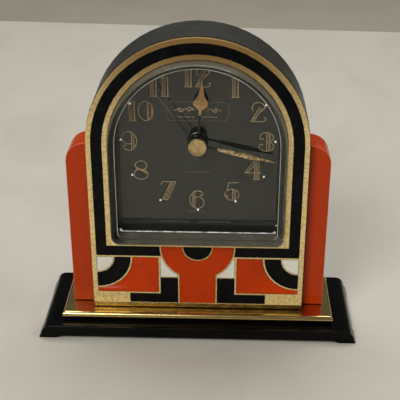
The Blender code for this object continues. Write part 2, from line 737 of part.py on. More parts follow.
def both_sides(half):
    """Close a hand's outline from its right half, which runs from the hub to the tip."""
    return half + [(-x, z) for x, z in reversed(half) if x > 0]


def hand(name, half, angle, front, back, hub, hole, axis):
    blade = prism(turned(both_sides(half), angle), front, back)
    body = join(rod((0, ARCH_Z), hub, front, back, 20), blade)
    if hole:
        body = cut(body, rod((0, ARCH_Z), hole, front - 1, back + 1))
    finish(name, body, "rose_gold", axis)


def make_hands(hour_axis, minute_axis, second_axis):
    """Teardrop hour hand, leaf minute hand, needle second hand and the cap over the hubs."""
    bulb = [(2.4, 14.4), (2.35, 15.4), (1.8, 16.9), (1.0, 18.4), (0.55, 20.0)]
    hour = [(0.55, 1.0), (0.55, 11.2), (0.9, 12.2), (1.9, 13.3)] + bulb + [(0.0, 22.2)]
    hand("hour_hand", hour, HOUR_ANGLE, 3.05, 3.4, 2.7, 2.0, hour_axis)
    minute = [(0.4, 1.0), (0.4, 6.8), (0.8, 11.0), (0.85, 18.0), (0.5, 22.5), (0.0, 27.0)]
    hand("minute_hand", minute, MINUTE_ANGLE, 1.9, 2.2, 2.1, 1.25, minute_axis)
    second = [(0.16, -5.0), (0.16, 21.0), (0.0, 22.6)]
    hand("second_hand", second, SECOND_ANGLE, 0.5, 0.75, 1.2, None, second_axis)
    profile = [(1.2, 0.3), (1.2, 0.0), (3.1, 0.0), (3.1, -0.5), (2.8, -0.7)]
    cap = loft([(circle(0, ARCH_Z, radius, 24), depth) for radius, depth in profile])
    finish("hand_cap", cap, "rose_gold", second_axis)


def build():
    clear_scene()
    make_base()
    make_base_screws()
    make_plinth()
    make_wings()
    make_case()
    make_back_cover()
    make_face()
    make_window_stack()
    places = train_places()
    make_movement_casing(places)
    make_electrics(places)
    make_hatch()
    second_axis = make_second_train(places)
    hour_axis, minute_axis = make_motion_work(places)
    make_hands(hour_axis, minute_axis, second_axis)


build()
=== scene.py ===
"""Looks for the Art Deco mantel clock: lacquer, enamel, brass, crystal, printed dial and studio."""

import json
import math

import bmesh
import bpy
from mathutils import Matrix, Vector


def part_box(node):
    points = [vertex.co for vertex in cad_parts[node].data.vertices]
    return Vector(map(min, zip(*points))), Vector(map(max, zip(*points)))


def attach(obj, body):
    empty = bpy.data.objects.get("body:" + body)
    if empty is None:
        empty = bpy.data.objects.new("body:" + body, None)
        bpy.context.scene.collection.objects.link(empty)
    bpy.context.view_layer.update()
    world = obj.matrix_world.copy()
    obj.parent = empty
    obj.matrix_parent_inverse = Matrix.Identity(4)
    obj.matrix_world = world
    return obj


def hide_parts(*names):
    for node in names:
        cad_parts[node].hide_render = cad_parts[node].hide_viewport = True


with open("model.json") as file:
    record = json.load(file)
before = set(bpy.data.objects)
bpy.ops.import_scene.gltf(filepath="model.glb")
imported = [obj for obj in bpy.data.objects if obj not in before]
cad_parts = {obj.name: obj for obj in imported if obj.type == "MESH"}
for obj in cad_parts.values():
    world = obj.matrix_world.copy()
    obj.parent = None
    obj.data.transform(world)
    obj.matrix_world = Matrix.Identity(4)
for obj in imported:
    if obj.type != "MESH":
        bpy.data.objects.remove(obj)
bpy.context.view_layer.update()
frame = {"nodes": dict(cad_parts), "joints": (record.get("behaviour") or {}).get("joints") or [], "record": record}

MM = 0.001
PER_METRE = 1000
NODES = frame["nodes"]
BODY_OF = {node: body for body, nodes in frame["record"]["behaviour"]["bodies"].items() for node in nodes}
SLOT_OF = {part["node"]: part["material_slot"] for part in frame["record"]["subparts"]}
JOINTS = {joint["name"]: joint for joint in frame["joints"]}
CENTRE = Vector(JOINTS["second_arbor"]["pos_m"])
DIAL_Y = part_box("dial")[0].y


# ---------------------------------------------------------------- node materials

class Paint:
    """A Principled material that is built up one layer of nodes at a time."""

    def __init__(self, name, colour, roughness, metallic=0.0, **sockets):
        self.material = bpy.data.materials.new(name)
        self.material.use_nodes = True
        self.tree = self.material.node_tree
        self.shader = self.tree.nodes["Principled BSDF"]
        self.set("Base Color", (*colour, 1.0))
        self.set("Roughness", roughness)
        self.set("Metallic", metallic)
        for socket, value in sockets.items():
            self.set(socket.replace("_", " "), value)
        self.colour = None
        self.rough = None
        self.height = None
        self.base = (*colour, 1.0)
        self.roughness = roughness

    def set(self, socket, value):
        self.shader.inputs[socket].default_value = value

    def node(self, kind, **settings):
        node = self.tree.nodes.new(kind)
        for key, value in settings.items():
            setattr(node, key, value)
        return node

    def link(self, source, target):
        self.tree.links.new(source, target)

    def coordinates(self, stretch=(1, 1, 1)):
        """Positions in millimetres, fixed to the object."""
        position = self.node("ShaderNodeTexCoord")
        mapping = self.node("ShaderNodeMapping")
        mapping.inputs["Scale"].default_value = [PER_METRE * s for s in stretch]
        self.link(position.outputs["Object"], mapping.inputs["Vector"])
        return mapping.outputs["Vector"]

    def noise(self, size, detail=4.0, stretch=(1, 1, 1), distortion=0.0, offset=0.0):
        """Noise whose features are about size millimetres across."""
        noise = self.node("ShaderNodeTexNoise", noise_dimensions="4D")
        self.link(self.coordinates(stretch), noise.inputs["Vector"])
        noise.inputs["Scale"].default_value = 1 / size
        noise.inputs["Detail"].default_value = detail
        noise.inputs["Distortion"].default_value = distortion
        noise.inputs["W"].default_value = offset
        return noise.outputs["Fac"]

    def cells(self, size, offset=0.0):
        """The distance to the nearest of many scattered points."""
        cells = self.node("ShaderNodeTexVoronoi", voronoi_dimensions="4D")
        self.link(self.coordinates(), cells.inputs["Vector"])
        cells.inputs["Scale"].default_value = 1 / size
        cells.inputs["W"].default_value = offset
        return cells.outputs["Distance"]

    def height_mm(self):
        """How high the surface is above the floor at rest, in millimetres."""
        parts = self.node("ShaderNodeSeparateXYZ")
        self.link(self.coordinates(), parts.inputs["Vector"])
        return parts.outputs["Z"]

    def ramp(self, value, low, high, start=0.0, end=1.0):
        """The value spread from low..high to start..end."""
        ramp = self.node("ShaderNodeMapRange", clamp=True)
        self.link(value, ramp.inputs["Value"])
        for socket, number in zip(("From Min", "From Max", "To Min", "To Max"), (low, high, start, end)):
            ramp.inputs[socket].default_value = number
        return ramp.outputs["Result"]

    def stain(self, mask, colour):
        """Lay a colour over the surface where the mask is high."""
        mix = self.node("ShaderNodeMix", data_type="RGBA")
        self.link(mask, mix.inputs["Factor"])
        if self.colour:
            self.link(self.colour, mix.inputs["A"])
        else:
            mix.inputs["A"].default_value = self.base
        mix.inputs["B"].default_value = (*colour, 1.0)
        self.colour = mix.outputs["Result"]
        self.link(self.colour, self.shader.inputs["Base Color"])

    def dull(self, mask, roughness):
        """Change the roughness where the mask is high."""
        mix = self.node("ShaderNodeMix", data_type="FLOAT")
        self.link(mask, mix.inputs["Factor"])
        if self.rough:
            self.link(self.rough, mix.inputs["A"])
        else:
            mix.inputs["A"].default_value = self.roughness
        mix.inputs["B"].default_value = roughness
        self.rough = mix.outputs["Result"]
        self.link(self.rough, self.shader.inputs["Roughness"])

    def bump(self, height, depth):
        """Raise the surface by the height times depth millimetres."""
        bump = self.node("ShaderNodeBump")
        bump.inputs["Distance"].default_value = depth * MM
        self.link(height, bump.inputs["Height"])
        if self.height:
            self.link(self.height, bump.inputs["Normal"])
        self.height = bump.outputs["Normal"]
        self.link(self.height, self.shader.inputs["Normal"])


# The heights between which the plate's brass turns browner, in millimetres: partly patina, partly painted shade
# where the upper brass reflects the dark room.
PATINA_AND_SHADE_FROM, PATINA_AND_SHADE_FULL = 78.0, 104.0


def make_paints():
    """Every surface of the clock except its crystal."""
    paints = {}

    def add(name, *args, **sockets):
        paints[name] = Paint(name, *args, **sockets)
        return paints[name]

    # Black lacquer on the base: glossy, with faint smears and dust; its edges are part wear, part painted
    # highlight.
    p = add("black_lacquer", (0.0022, 0.0021, 0.0021), 0.10, Specular_IOR_Level=0.10)
    smears = p.ramp(p.noise(9.0, 5.0, distortion=0.6), 0.45, 0.75)
    p.dull(smears, 0.18)
    dust = p.ramp(p.cells(2.6), 0.055, 0.03)
    p.stain(dust, (0.06, 0.056, 0.05))
    p.stain(p.ramp(p.noise(22.0, 3.0), 0.5, 0.8, 0.0, 0.5), (0.006, 0.0055, 0.005))
    p.bump(p.noise(4.0, 3.0), 0.012)

    # The base's rounded edges: thin grey wear with brighter nicks, painted lighter as a highlight line along each
    # edge.
    p = add("lacquer_edge_wear_and_highlight", (0.016, 0.016, 0.014), 0.20, Specular_IOR_Level=0.6)
    p.stain(p.ramp(p.noise(2.2, 4.0, offset=3.0), 0.60, 0.70), (0.20, 0.195, 0.18))
    p.stain(p.ramp(p.cells(1.4, 9.0), 0.14, 0.07), (0.34, 0.32, 0.28))
    p.bump(p.noise(0.8, 4.0), 0.02)

    # Polished brass on the plinth: drawn along its length, tarnished in patches.
    p = add("polished_brass", (0.66, 0.48, 0.20), 0.19, 1.0)
    drawn = p.noise(0.35, 4.0, stretch=(0.03, 1, 1))
    tarnish = p.ramp(p.noise(7.0, 6.0, stretch=(0.5, 1, 1)), 0.46, 0.72)
    p.stain(tarnish, (0.50, 0.33, 0.11))
    p.stain(p.ramp(p.cells(1.9, 3.0), 0.09, 0.04), (0.28, 0.17, 0.06))
    p.dull(tarnish, 0.30)
    p.bump(drawn, 0.006)
    p.bump(p.noise(3.0, 3.0), 0.02)

    # The strip under the face plate: the same brass, painted darker as shade for the dim reflections on its front.
    p = add("shaded_sill_brass", (0.34, 0.235, 0.075), 0.22, 1.0)
    p.stain(p.ramp(p.noise(1.4, 5.0, stretch=(0.25, 1, 1)), 0.45, 0.65), (0.22, 0.145, 0.04))
    p.dull(p.ramp(p.noise(3.0, 4.0), 0.45, 0.7), 0.36)
    p.bump(p.noise(0.5, 3.0, stretch=(0.05, 1, 1)), 0.008)

    # Aged satin brass on the face plate: speckled, browner where it was handled, and browner towards the top,
    # partly patina and partly painted shade.
    p = add("satin_brass", (1.0, 0.80, 0.38), 0.46, 0.6)
    speckle = p.noise(0.8, 4.0)
    p.stain(p.ramp(speckle, 0.44, 0.64), (0.74, 0.53, 0.20))
    p.stain(p.ramp(p.noise(5.0, 6.0, offset=2.0), 0.58, 0.76, 0.0, 0.7), (0.55, 0.39, 0.16))
    p.stain(p.ramp(p.cells(2.1, 1.0), 0.10, 0.04), (0.22, 0.13, 0.06))
    # Browner towards the top: partly patina, partly painted shade for the dark room that the upper brass reflects.
    p.stain(p.ramp(p.height_mm(), PATINA_AND_SHADE_FROM, PATINA_AND_SHADE_FULL, 0.0, 0.95), (0.33, 0.18, 0.055))
    p.dull(p.ramp(speckle, 0.4, 0.7), 0.52)
    p.bump(speckle, 0.018)

    # The same brass on its rounded edges, painted lighter and barely metallic: a painted highlight along the edges.
    p = add("brass_edge_highlight", (1.0, 0.86, 0.54), 0.5, 0.10)
    p.stain(p.ramp(p.noise(0.6, 4.0, offset=6.0), 0.50, 0.68), (0.70, 0.52, 0.24))
    # Browner towards the top: partly patina, partly painted shade, as on the flat brass.
    p.stain(p.ramp(p.height_mm(), PATINA_AND_SHADE_FROM, PATINA_AND_SHADE_FULL, 0.0, 0.6), (0.46, 0.28, 0.10))
    p.bump(p.noise(0.3, 3.0), 0.01)

    # Red lacquer on the side blocks.
    p = add("red_lacquer", (0.47, 0.041, 0.004), 0.22, Specular_IOR_Level=0.18)
    p.stain(p.ramp(p.noise(6.0, 5.0), 0.50, 0.80, 0.0, 0.6), (0.40, 0.034, 0.004))
    p.stain(p.ramp(p.cells(3.1, 5.0), 0.06, 0.03), (0.16, 0.02, 0.01))
    p.dull(p.ramp(p.noise(3.5, 5.0), 0.45, 0.75), 0.34)
    p.bump(p.noise(0.8, 3.0), 0.012)

    # The same lacquer on its rounded edges: painted lighter as a highlight along them, and chipped here and there.
    p = add("red_edge_wear_and_highlight", (0.56, 0.085, 0.022), 0.28, Specular_IOR_Level=0.4)
    p.stain(p.ramp(p.noise(1.3, 4.0, offset=2.0), 0.62, 0.68), (0.10, 0.014, 0.008))
    p.dull(p.ramp(p.noise(2.0, 4.0), 0.45, 0.7), 0.45)
    p.bump(p.noise(0.7, 4.0), 0.03)

    # Satin charcoal paint on the case.
    p = add("charcoal", (0.019, 0.019, 0.016), 0.34, Specular_IOR_Level=0.4)
    p.stain(p.ramp(p.noise(8.0, 5.0), 0.45, 0.75, 0.0, 0.7), (0.026, 0.026, 0.023))
    p.stain(p.ramp(p.cells(2.3, 7.0), 0.05, 0.03), (0.14, 0.135, 0.12))
    p.dull(p.ramp(p.noise(5.0, 5.0), 0.42, 0.7), 0.46)
    p.bump(p.noise(0.35, 3.0), 0.010)

    # Enamels: polished flat, with pinholes and a slight swell.
    for name, colour, shade in (
        ("black_enamel", (0.0025, 0.0025, 0.003), (0.007, 0.007, 0.007)),
        ("red_enamel", (0.54, 0.043, 0.003), (0.48, 0.037, 0.003)),
        ("white_enamel", (0.84, 0.80, 0.70), (0.74, 0.69, 0.58)),
    ):
        p = add(name, colour, 0.27, Specular_IOR_Level=0.09)
        p.stain(p.ramp(p.noise(3.0, 5.0), 0.45, 0.75), shade)
        p.stain(p.ramp(p.cells(2.7, 4.0), 0.045, 0.02), (0.10, 0.075, 0.04))
        p.dull(p.ramp(p.noise(2.0, 4.0, offset=5.0), 0.5, 0.8), 0.30)
        p.bump(p.noise(2.5, 3.0), 0.02)

    # The moulded ring round the dial.
    p = add("ring_grey", (0.030, 0.032, 0.032), 0.45, Specular_IOR_Level=0.25)
    p.stain(p.ramp(p.noise(3.0, 4.0), 0.45, 0.75), (0.022, 0.023, 0.023))
    p.bump(p.noise(0.6, 3.0), 0.01)

    # The dial: charcoal lacquer under gloss.
    p = add("dial_black", (0.014, 0.015, 0.013), 0.05, Specular_IOR_Level=0.8)
    p.stain(p.ramp(p.noise(14.0, 3.0), 0.4, 0.8, 0.0, 0.5), (0.018, 0.018, 0.016))
    p.dull(p.ramp(p.noise(6.0, 4.0), 0.5, 0.8), 0.08)

    # Prints on the dial. A little emission keeps the dots bright.
    p = add("numeral_gold", (0.52, 0.40, 0.22), 0.45, 0.15)
    p.stain(p.ramp(p.noise(0.5, 4.0), 0.5, 0.7, 0.0, 0.7), (0.36, 0.27, 0.14))
    p.bump(p.noise(0.2, 2.0), 0.004)
    p = add("numeral_fill", (0.30, 0.205, 0.125), 0.5, 0.1)
    p.stain(p.ramp(p.noise(0.6, 4.0), 0.45, 0.65), (0.20, 0.135, 0.085))
    p.bump(p.noise(0.2, 2.0), 0.004)
    p = add("line_gold", (0.135, 0.128, 0.105), 0.45, 0.1)
    p.stain(p.ramp(p.noise(0.6, 3.0), 0.45, 0.7), (0.095, 0.09, 0.075))
    p.bump(p.noise(0.2, 2.0), 0.004)
    p = add("script_gold", (0.60, 0.43, 0.28), 0.4, 0.2)
    p.stain(p.ramp(p.noise(0.5, 3.0), 0.48, 0.66), (0.32, 0.21, 0.13))
    p.bump(p.noise(0.2, 2.0), 0.004)
    p = add("dot_white", (0.95, 0.94, 0.90), 0.3, Emission_Color=(0.9, 0.9, 0.86, 1.0), Emission_Strength=0.4)
    p.stain(p.ramp(p.noise(0.4, 2.0), 0.5, 0.8), (0.75, 0.73, 0.68))
    p.bump(p.noise(0.3, 2.0), 0.004)

    # The bright line along the foot of the crystal, kept bright by a little emission.
    p = add("lip_light", (0.92, 0.93, 0.90), 0.25)
    p.stain(p.ramp(p.noise(2.6, 4.0, stretch=(1, 0.1, 0.1)), 0.42, 0.60), (0.30, 0.305, 0.30))
    p.link(p.colour, p.shader.inputs["Emission Color"])
    p.set("Emission Strength", 0.45)
    p.bump(p.noise(0.6, 3.0), 0.02)

    # Hands: stamped and grained, dark towards the hub.
    p = add("rose_gold", (0.80, 0.50, 0.28), 0.34, 1.0)
    grain = p.noise(0.45, 5.0)
    p.stain(p.ramp(grain, 0.44, 0.58), (0.42, 0.24, 0.12))
    p.stain(p.ramp(p.noise(1.1, 4.0, offset=3.0), 0.55, 0.72), (0.78, 0.57, 0.36))
    p.bump(grain, 0.03)
    p = add("hammered_gold", (1.0, 0.80, 0.50), 0.30, 1.0)
    chips = p.noise(0.7, 5.0, distortion=0.8)
    p.stain(p.ramp(chips, 0.47, 0.55), (0.40, 0.21, 0.08))
    p.bump(chips, 0.22)
    p = add("cap_gold", (0.80, 0.60, 0.32), 0.36, 1.0)
    p.stain(p.ramp(p.noise(1.6, 5.0), 0.46, 0.62), (0.58, 0.40, 0.19))
    p.stain(p.ramp(p.cells(2.4, 2.0), 0.10, 0.05), (0.22, 0.15, 0.07))
    p.bump(p.noise(0.25, 4.0), 0.012)
    p = add("hand_black", (0.006, 0.006, 0.006), 0.3)
    p.stain(p.ramp(p.noise(0.8, 3.0), 0.5, 0.8), (0.012, 0.011, 0.010))
    p.bump(p.noise(0.3, 2.0), 0.006)

    # Metals and plastics of the back, the underside and the movement.
    for name, colour, low, high, metallic, size in (
        ("steel", (0.50, 0.50, 0.50), 0.26, 0.42, 1.0, 0.4),
        ("dark_steel", (0.10, 0.10, 0.10), 0.22, 0.35, 1.0, 0.5),
        ("copper", (0.55, 0.22, 0.10), 0.35, 0.5, 1.0, 0.15),
        ("black_plastic", (0.020, 0.020, 0.021), 0.48, 0.62, 0.0, 0.22),
        ("white_plastic", (0.70, 0.69, 0.64), 0.38, 0.5, 0.0, 0.8),
        ("board_green", (0.02, 0.12, 0.05), 0.35, 0.5, 0.0, 0.9),
        ("bush_brass", (0.60, 0.45, 0.20), 0.3, 0.45, 1.0, 0.5),
    ):
        p = add(name, colour, low, metallic)
        p.stain(p.ramp(p.noise(size * 9, 5.0), 0.45, 0.75, 0.0, 0.6), [c * 0.72 for c in colour])
        p.dull(p.ramp(p.noise(size * 5, 4.0), 0.4, 0.7), high)
        p.bump(p.noise(size, 4.0), 0.02)
    return {name: paint.material for name, paint in paints.items()}


SMEARS_PER_MM = 0.12


def clear_material(name, tint, haze, haze_colour, ior):
    """A thin clear wall: see-through, with a mirror skin and some haze, and without bent light."""
    material = bpy.data.materials.new(name)
    material.use_nodes = True
    tree = material.node_tree
    tree.nodes.clear()
    new, link = tree.nodes.new, tree.links.new
    through = new("ShaderNodeBsdfTransparent")
    through.inputs["Color"].default_value = (*tint, 1.0)
    milk = new("ShaderNodeBsdfDiffuse")
    milk.inputs["Color"].default_value = (*haze_colour, 1.0)
    mirror = new("ShaderNodeBsdfGlossy")
    mirror.inputs["Color"].default_value = (1, 1, 1, 1)
    position = new("ShaderNodeTexCoord")
    mapping = new("ShaderNodeMapping")
    mapping.inputs["Scale"].default_value = (PER_METRE, PER_METRE, PER_METRE)
    smears = new("ShaderNodeTexNoise")
    smears.inputs["Scale"].default_value = SMEARS_PER_MM
    smears.inputs["Detail"].default_value = 6.0
    spread = new("ShaderNodeMapRange")
    for socket, value in (("From Min", 0.4), ("From Max", 0.8), ("To Min", 0.03), ("To Max", 0.10)):
        spread.inputs[socket].default_value = value
    cloud = new("ShaderNodeMapRange")
    for socket, value in (("From Min", 0.3), ("From Max", 0.8), ("To Min", 0.7 * haze), ("To Max", 1.4 * haze)):
        cloud.inputs[socket].default_value = value
    skin = new("ShaderNodeFresnel")
    skin.inputs["IOR"].default_value = ior
    body = new("ShaderNodeMixShader")
    whole = new("ShaderNodeMixShader")
    link(position.outputs["Object"], mapping.inputs["Vector"])
    link(mapping.outputs["Vector"], smears.inputs["Vector"])
    link(smears.outputs["Fac"], spread.inputs["Value"])
    link(smears.outputs["Fac"], cloud.inputs["Value"])
    link(spread.outputs["Result"], mirror.inputs["Roughness"])
    link(cloud.outputs["Result"], body.inputs["Fac"])
    link(through.outputs["BSDF"], body.inputs[1])
    link(milk.outputs["BSDF"], body.inputs[2])
    link(skin.outputs["Fac"], whole.inputs["Fac"])
    link(body.outputs["Shader"], whole.inputs[1])
    link(mirror.outputs["BSDF"], whole.inputs[2])
    link(whole.outputs["Shader"], new("ShaderNodeOutputMaterial").inputs["Surface"])
    return material


PAINTS = make_paints()
# The pane's mirror is far weaker than real glass has: a stronger one renders as noise over the dial.
PAINTS["crystal"] = clear_material("crystal", (0.98, 0.98, 0.97), 0.003, (0.8, 0.8, 0.76), 1.05)
PAINTS["crystal_inner"] = clear_material("crystal_inner", (0.99, 0.99, 0.98), 0.0, (0.8, 0.8, 0.76), 1.0001)
PAINTS["crystal_shoulder"] = clear_material("crystal_shoulder", (0.80, 0.80, 0.76), 0.42, (0.27, 0.255, 0.20), 1.22)
# The front edge's whitish haze is a painted highlight: the bright line along the crystal's front edge.
PAINTS["crystal_edge"] = clear_material("crystal_edge", (0.9, 0.9, 0.88), 0.55, (0.85, 0.84, 0.80), 1.3)
PAINTS["crystal_low"] = clear_material("crystal_low", (0.85, 0.85, 0.85), 0.55, (0.25, 0.275, 0.285), 1.3)


# ---------------------------------------------------------------- pieces

def add_piece(name, solid, paint, body, replaced=(), smooth=35.0):
    """Turn a bmesh in metres into a piece that rides on a body."""
    mesh = bpy.data.meshes.new(name)
    solid.to_mesh(mesh)
    solid.free()
    mesh.shade_smooth()
    mesh.set_sharp_from_angle(angle=math.radians(smooth))
    for one in [paint] if isinstance(paint, str) else paint:
        mesh.materials.append(PAINTS[one])
    piece = bpy.data.objects.new(name, mesh)
    bpy.context.scene.collection.objects.link(piece)
    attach(piece, body)
    if replaced:
        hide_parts(*replaced)
    return piece


JOIN_WITHIN = 0.001   # millimetres
FLAT_WITHIN = 0.4     # degrees


def node_solid(node):
    """A CAD node as a bmesh with its split corners joined and its flat faces whole."""
    solid = bmesh.new()
    solid.from_mesh(NODES[node].data)
    bmesh.ops.remove_doubles(solid, verts=solid.verts, dist=JOIN_WITHIN * MM)
    bmesh.ops.dissolve_limit(
        solid, angle_limit=math.radians(FLAT_WITHIN), verts=solid.verts, edges=solid.edges, delimit=set())
    return solid


SHARP_OVER = 35.0     # degrees


def softened(node, paint, width, segments):
    """A copy of a CAD node whose sharp edges are rounded by width millimetres."""
    solid = node_solid(node)
    limit = math.radians(SHARP_OVER)
    sharp = [e for e in solid.edges if len(e.link_faces) == 2 and e.calc_face_angle(0) > limit]
    rounded_faces = bmesh.ops.bevel(
        solid, geom=sharp, offset=width * MM, offset_type="OFFSET", segments=segments,
        profile=0.5, affect="EDGES", clamp_overlap=True)["faces"]
    # The rounded faces take the second paint, the lighter edge paint: a painted highlight, with wear on some parts.
    if not isinstance(paint, str):
        for face in rounded_faces:
            face.material_index = 1
    piece = add_piece(node + "_finished", solid, paint, BODY_OF[node], [node], 40.0)
    weighted = piece.modifiers.new("even shading", "WEIGHTED_NORMAL")
    weighted.keep_sharp = True


def repaint(node, paint):
    """Keep a CAD node's shape and give it a finish."""
    mesh = NODES[node].data
    mesh.materials.clear()
    mesh.materials.append(PAINTS[paint])


# ---------------------------------------------------------------- flat work on the dial

def oval(x, z, across, up, start, end, steps=20):
    angles = [math.radians(start + (end - start) * i / steps) for i in range(steps + 1)]
    return [(x + across * math.cos(a), z + up * math.sin(a)) for a in angles]


def chord(x, z, across, up, at):
    """The upright line at x = at inside an oval, as two points."""
    half = up * math.sqrt(max(0.0, 1 - ((at - x) / across) ** 2))
    return [(at, z - half), (at, z + half)]


def slab(solid, outline, low, high):
    """A closed plate over an outline in dial millimetres, from low to high above the dial."""
    def place(point, height):
        return CENTRE + Vector((point[0] * MM, DIAL_Y - CENTRE.y - height * MM, point[1] * MM))

    area = sum(x0 * z1 - x1 * z0 for (x0, z0), (x1, z1) in zip(outline, outline[1:] + outline[:1]))
    if area < 0:
        outline = outline[::-1]
    bottom = [solid.verts.new(place(p, low)) for p in outline]
    top = [solid.verts.new(place(p, high)) for p in outline]
    count = len(outline)
    solid.faces.new(top)
    solid.faces.new(bottom[::-1])
    for i in range(count):
        j = (i + 1) % count
        solid.faces.new((bottom[i], bottom[j], top[j], top[i]))


def stroke(solid, points, width, low, high, closed=False):
    """A line of even width along points in dial millimetres."""
    points = [Vector(p) for p in points]
    count = len(points)
    left, right = [], []
    for i, point in enumerate(points):
        before = points[i - 1] if closed or i > 0 else None
        after = points[(i + 1) % count] if closed or i < count - 1 else None
        ways = []
        if before is not None:
            ways.append((point - before).normalized())
        if after is not None:
            ways.append((after - point).normalized())
        way = (ways[0] + ways[-1]).normalized()
        side = Vector((-way.y, way.x))
        reach = width / 2 / max(0.5, side.dot(Vector((-ways[0].y, ways[0].x))))
        left.append(point + side * reach)
        right.append(point - side * reach)
    pairs = range(count if closed else count - 1)
    for i in pairs:
        j = (i + 1) % count
        quad = [tuple(right[i]), tuple(right[j]), tuple(left[j]), tuple(left[i])]
        slab(solid, quad, low, high)


# Each figure is drawn about its own middle, in millimetres: lines as (points, width), and solid patches.
HAIR = 0.21           # the width of a thin line
BROAD = 0.5           # a line wider than this is filled with the darker gold


def glyph_0():
    lines = [(oval(0, 0, 2.45, 3.45, 0, 345, 24) + [(2.45, 0)], HAIR)]
    lines.append((chord(0, 0, 2.45, 3.45, 0.75), 0.7))
    patch = oval(0, 0, 2.5, 3.45, -46, 46, 12)
    return lines, [patch]


def glyph_1():
    lines = [
        ([(-1.35, -3.4), (1.3, -3.4)], HAIR + 0.05),
        ([(-0.95, -3.4), (-0.95, 3.0)], HAIR),
        ([(-0.22, -3.4), (-0.22, 3.3)], 0.8),
        ([(0.85, -3.4), (0.85, 3.45)], 0.34),
        ([(-1.4, 2.7), (-0.9, 3.1), (0.95, 3.4)], HAIR),
    ]
    return lines, []


def glyph_2():
    hook = oval(-0.25, 1.55, 2.05, 1.85, 215, -8, 18)
    lines = [
        (hook, HAIR),
        ([(1.8, 1.3), (-2.6, -3.3)], HAIR),
        ([(1.15, 3.1), (2.05, 2.0), (1.9, 1.2)], HAIR),
        ([(1.05, 1.4), (-1.65, -3.2)], 0.62),
        ([(0.35, 1.9), (-2.5, -3.3)], HAIR),
        ([(-2.7, -3.35), (0.6, -3.4), (1.8, -3.3), (2.4, -2.6), (2.2, -2.0), (1.7, -2.2)], HAIR),
    ]
    return lines, []


def glyph_3():
    lines = [
        (oval(0.1, 1.65, 2.3, 1.8, 200, -90, 22), HAIR),
        (oval(0.1, -1.7, 2.45, 1.75, 90, -200, 22), HAIR),
        (oval(-1.45, 1.25, 0.45, 0.45, 200, 380, 8), HAIR),
        (oval(-1.6, -1.25, 0.45, 0.45, 160, -20, 8), HAIR),
    ]
    for x, z, across, up in ((0.1, 1.65, 2.3, 1.8), (0.1, -1.7, 2.45, 1.75)):
        lines.append((chord(x, z, across, up, 0.15), HAIR))
        lines.append((chord(x, z, across, up, 1.1), 0.85))
    return lines, []


def glyph_4():
    lines = [
        ([(0.5, 3.5), (-2.8, -1.0)], HAIR),
        ([(0.9, 2.2), (-2.1, -1.0)], HAIR),
        ([(-2.8, -1.0), (2.8, -1.0)], HAIR),
        ([(0.5, -3.4), (0.5, 3.5)], HAIR),
        ([(1.2, -3.4), (1.2, 3.4)], 0.75),
        ([(2.0, -3.4), (2.0, 3.5)], HAIR),
        ([(0.1, -3.45), (2.4, -3.45)], HAIR),
    ]
    return lines, []


def glyph_5():
    lines = [
        ([(-1.0, 3.3), (2.35, 3.45)], HAIR),
        ([(-1.0, 3.3), (-1.7, 0.2), (-0.9, 0.75)], HAIR),
        (oval(0.1, -1.25, 2.45, 2.15, 118, -205, 24), HAIR),
        (oval(-1.75, -2.0, 0.5, 0.5, 150, -60, 8), HAIR),
        (chord(0.1, -1.25, 2.45, 2.15, 0.35), HAIR),
        (chord(0.1, -1.25, 2.45, 2.15, 1.15), 0.75),
    ]
    return lines, []


def glyph_6():
    lines, patches = glyph_9()
    return [([(-x, -z) for x, z in points], width) for points, width in lines], patches


def glyph_7():
    lines = [
        ([(-2.5, 2.3), (-2.2, 3.1), (-1.5, 3.4), (2.6, 3.4)], HAIR),
        ([(0.95, 3.4), (-2.0, -3.4)], HAIR),
        ([(1.65, 3.35), (-1.15, -3.4)], 0.6),
        ([(2.6, 3.4), (-0.25, -3.4)], HAIR),
        ([(-2.1, -3.45), (-0.1, -3.45)], HAIR),
    ]
    return lines, []


def glyph_8():
    lines = [
        (oval(0, 1.75, 2.0, 1.7, 0, 345, 22) + [(2.0, 1.75)], HAIR),
        (oval(0, -1.6, 2.45, 1.9, 0, 345, 22) + [(2.45, -1.6)], HAIR),
        ([(-1.75, 1.3), (-0.9, 0.5), (1.2, -0.5), (2.1, -1.4)], 0.6),
        ([(-1.3, 0.6), (1.6, -0.9)], HAIR),
    ]
    return lines, []


def glyph_9():
    lines = [
        (oval(-0.2, 1.15, 2.25, 2.25, 70, 300, 20), HAIR),
        (oval(-0.1, 0, 2.6, 3.4, 95, -120, 26), HAIR),
        (oval(-0.6, -1.7, 1.5, 1.75, 270, 180, 8), HAIR),
        (oval(-1.55, -1.95, 0.5, 0.45, 190, -20, 8), HAIR),
        (chord(-0.1, 0, 2.6, 3.4, 0.75), HAIR),
        (chord(-0.1, 0, 2.6, 3.4, 1.45), 0.6),
    ]
    return lines, []


GLYPHS = [glyph_0, glyph_1, glyph_2, glyph_3, glyph_4, glyph_5, glyph_6, glyph_7, glyph_8, glyph_9]

# Each hour's figures as (figure, x, z) in millimetres from the dial's centre.
HOURS = {
    1: [(1, 12.4, 19.1)],
    2: [(2, 20.3, 10.6)],
    3: [(3, 23.1, -0.1)],
    4: [(4, 18.9, -10.7)],
    5: [(5, 11.7, -18.9)],
    6: [(6, -0.3, -22.3)],
    7: [(7, -10.3, -18.9)],
    8: [(8, -19.6, -11.2)],
    9: [(9, -23.3, -0.4)],
    10: [(1, -22.1, 10.4), (0, -17.4, 10.5)],
    11: [(1, -14.7, 19.2), (1, -10.8, 19.2)],
    12: [(1, -3.1, 22.6), (2, 1.8, 22.6)],
}


PRINT_FOOT = -0.02    # prints reach this far into the dial, in millimetres
PRINT_RISE = 0.030    # and stand this far proud of it
PRINT_TOP = 0.031
PRINT_LAYER = 0.0015  # overlapping strokes rise by this much, so that no two faces coincide


